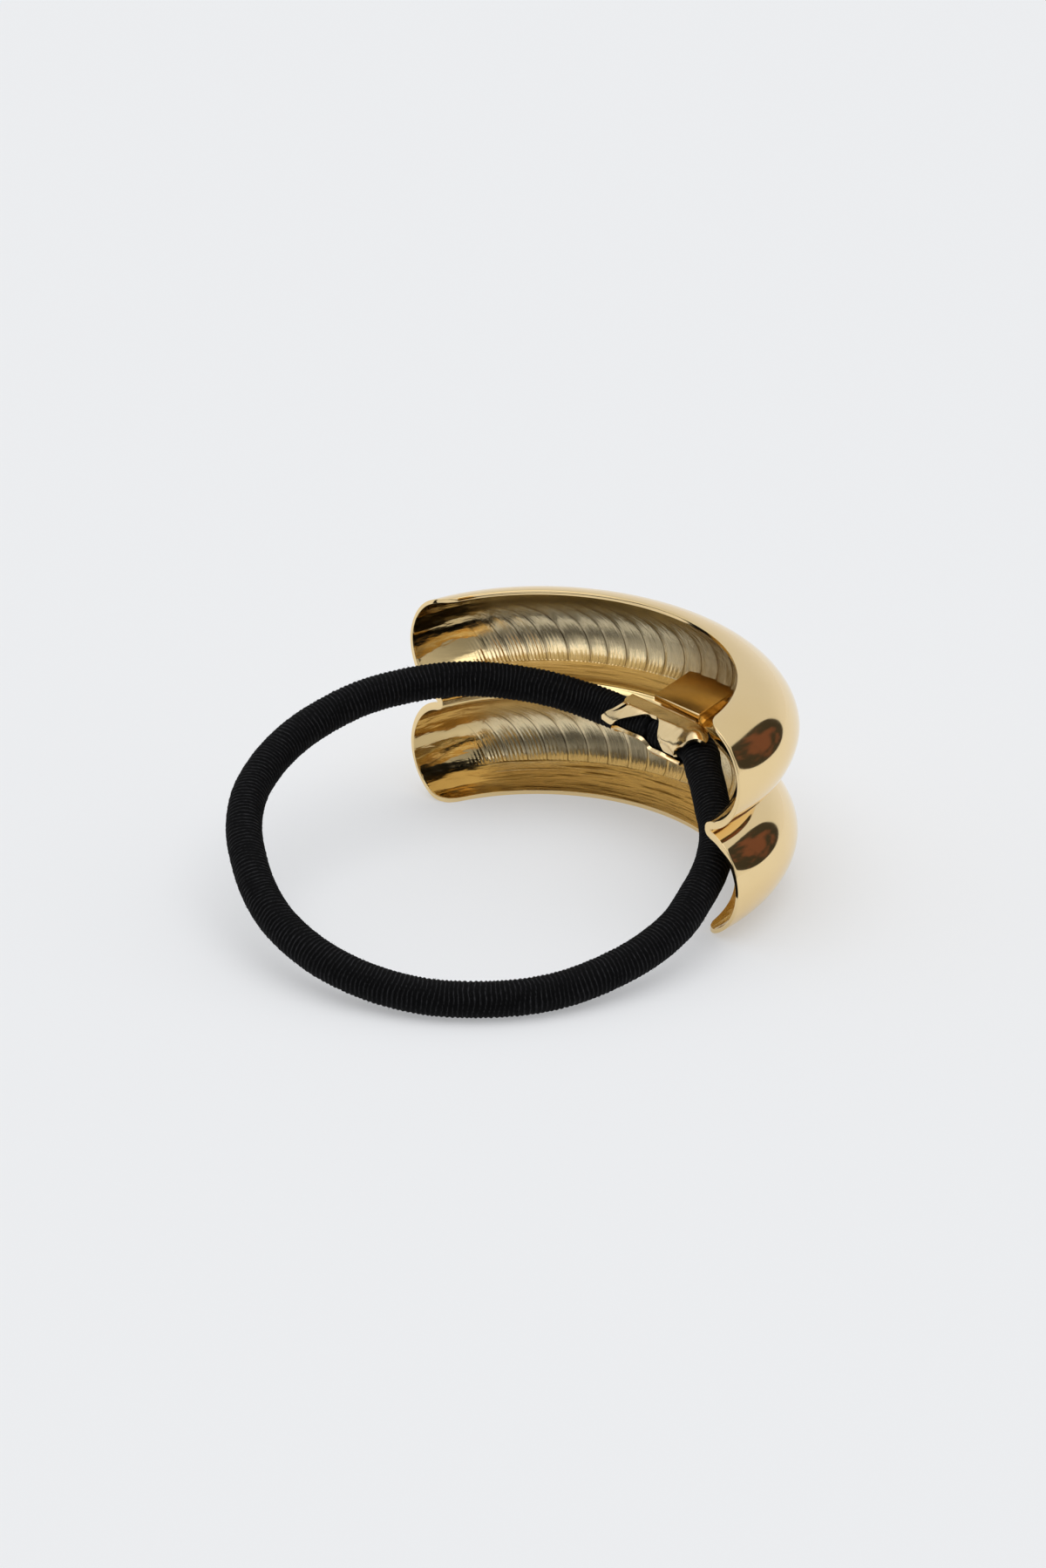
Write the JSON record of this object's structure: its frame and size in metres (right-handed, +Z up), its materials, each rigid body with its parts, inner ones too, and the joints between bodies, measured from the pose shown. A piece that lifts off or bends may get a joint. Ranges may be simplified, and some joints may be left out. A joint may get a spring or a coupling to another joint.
{
  "type": "ponytail cuff",
  "caption": "Bent double-dome metal cuff that hides a hair tie, with a black elastic loop crimped to its inside.",
  "frame": {"origin": "under the middle of the metal's box, in the plane that the cuff's lower rim stands on", "axes": "+Z up along the ponytail, +Y out of the cuff's bulging back, -Y out of its open mouth, X from end to end of the cuff"},
  "size_m": [0.0525, 0.0634, 0.0246],
  "materials": {
    "shell_gold": "polished pale gold plating on brass, brushed tool marks inside the lobes",
    "crimp_gold": "bright gold plating on folded brass sheet",
    "elastic": "black thread wound closely round a rubber core, with fine ribs and a little fuzz"
  },
  "bodies": {
    "root": {"cuff_shell": "shell_gold", "cord_crimp": "crimp_gold", "elastic_loop": "elastic"}
  },
  "joints": []
}
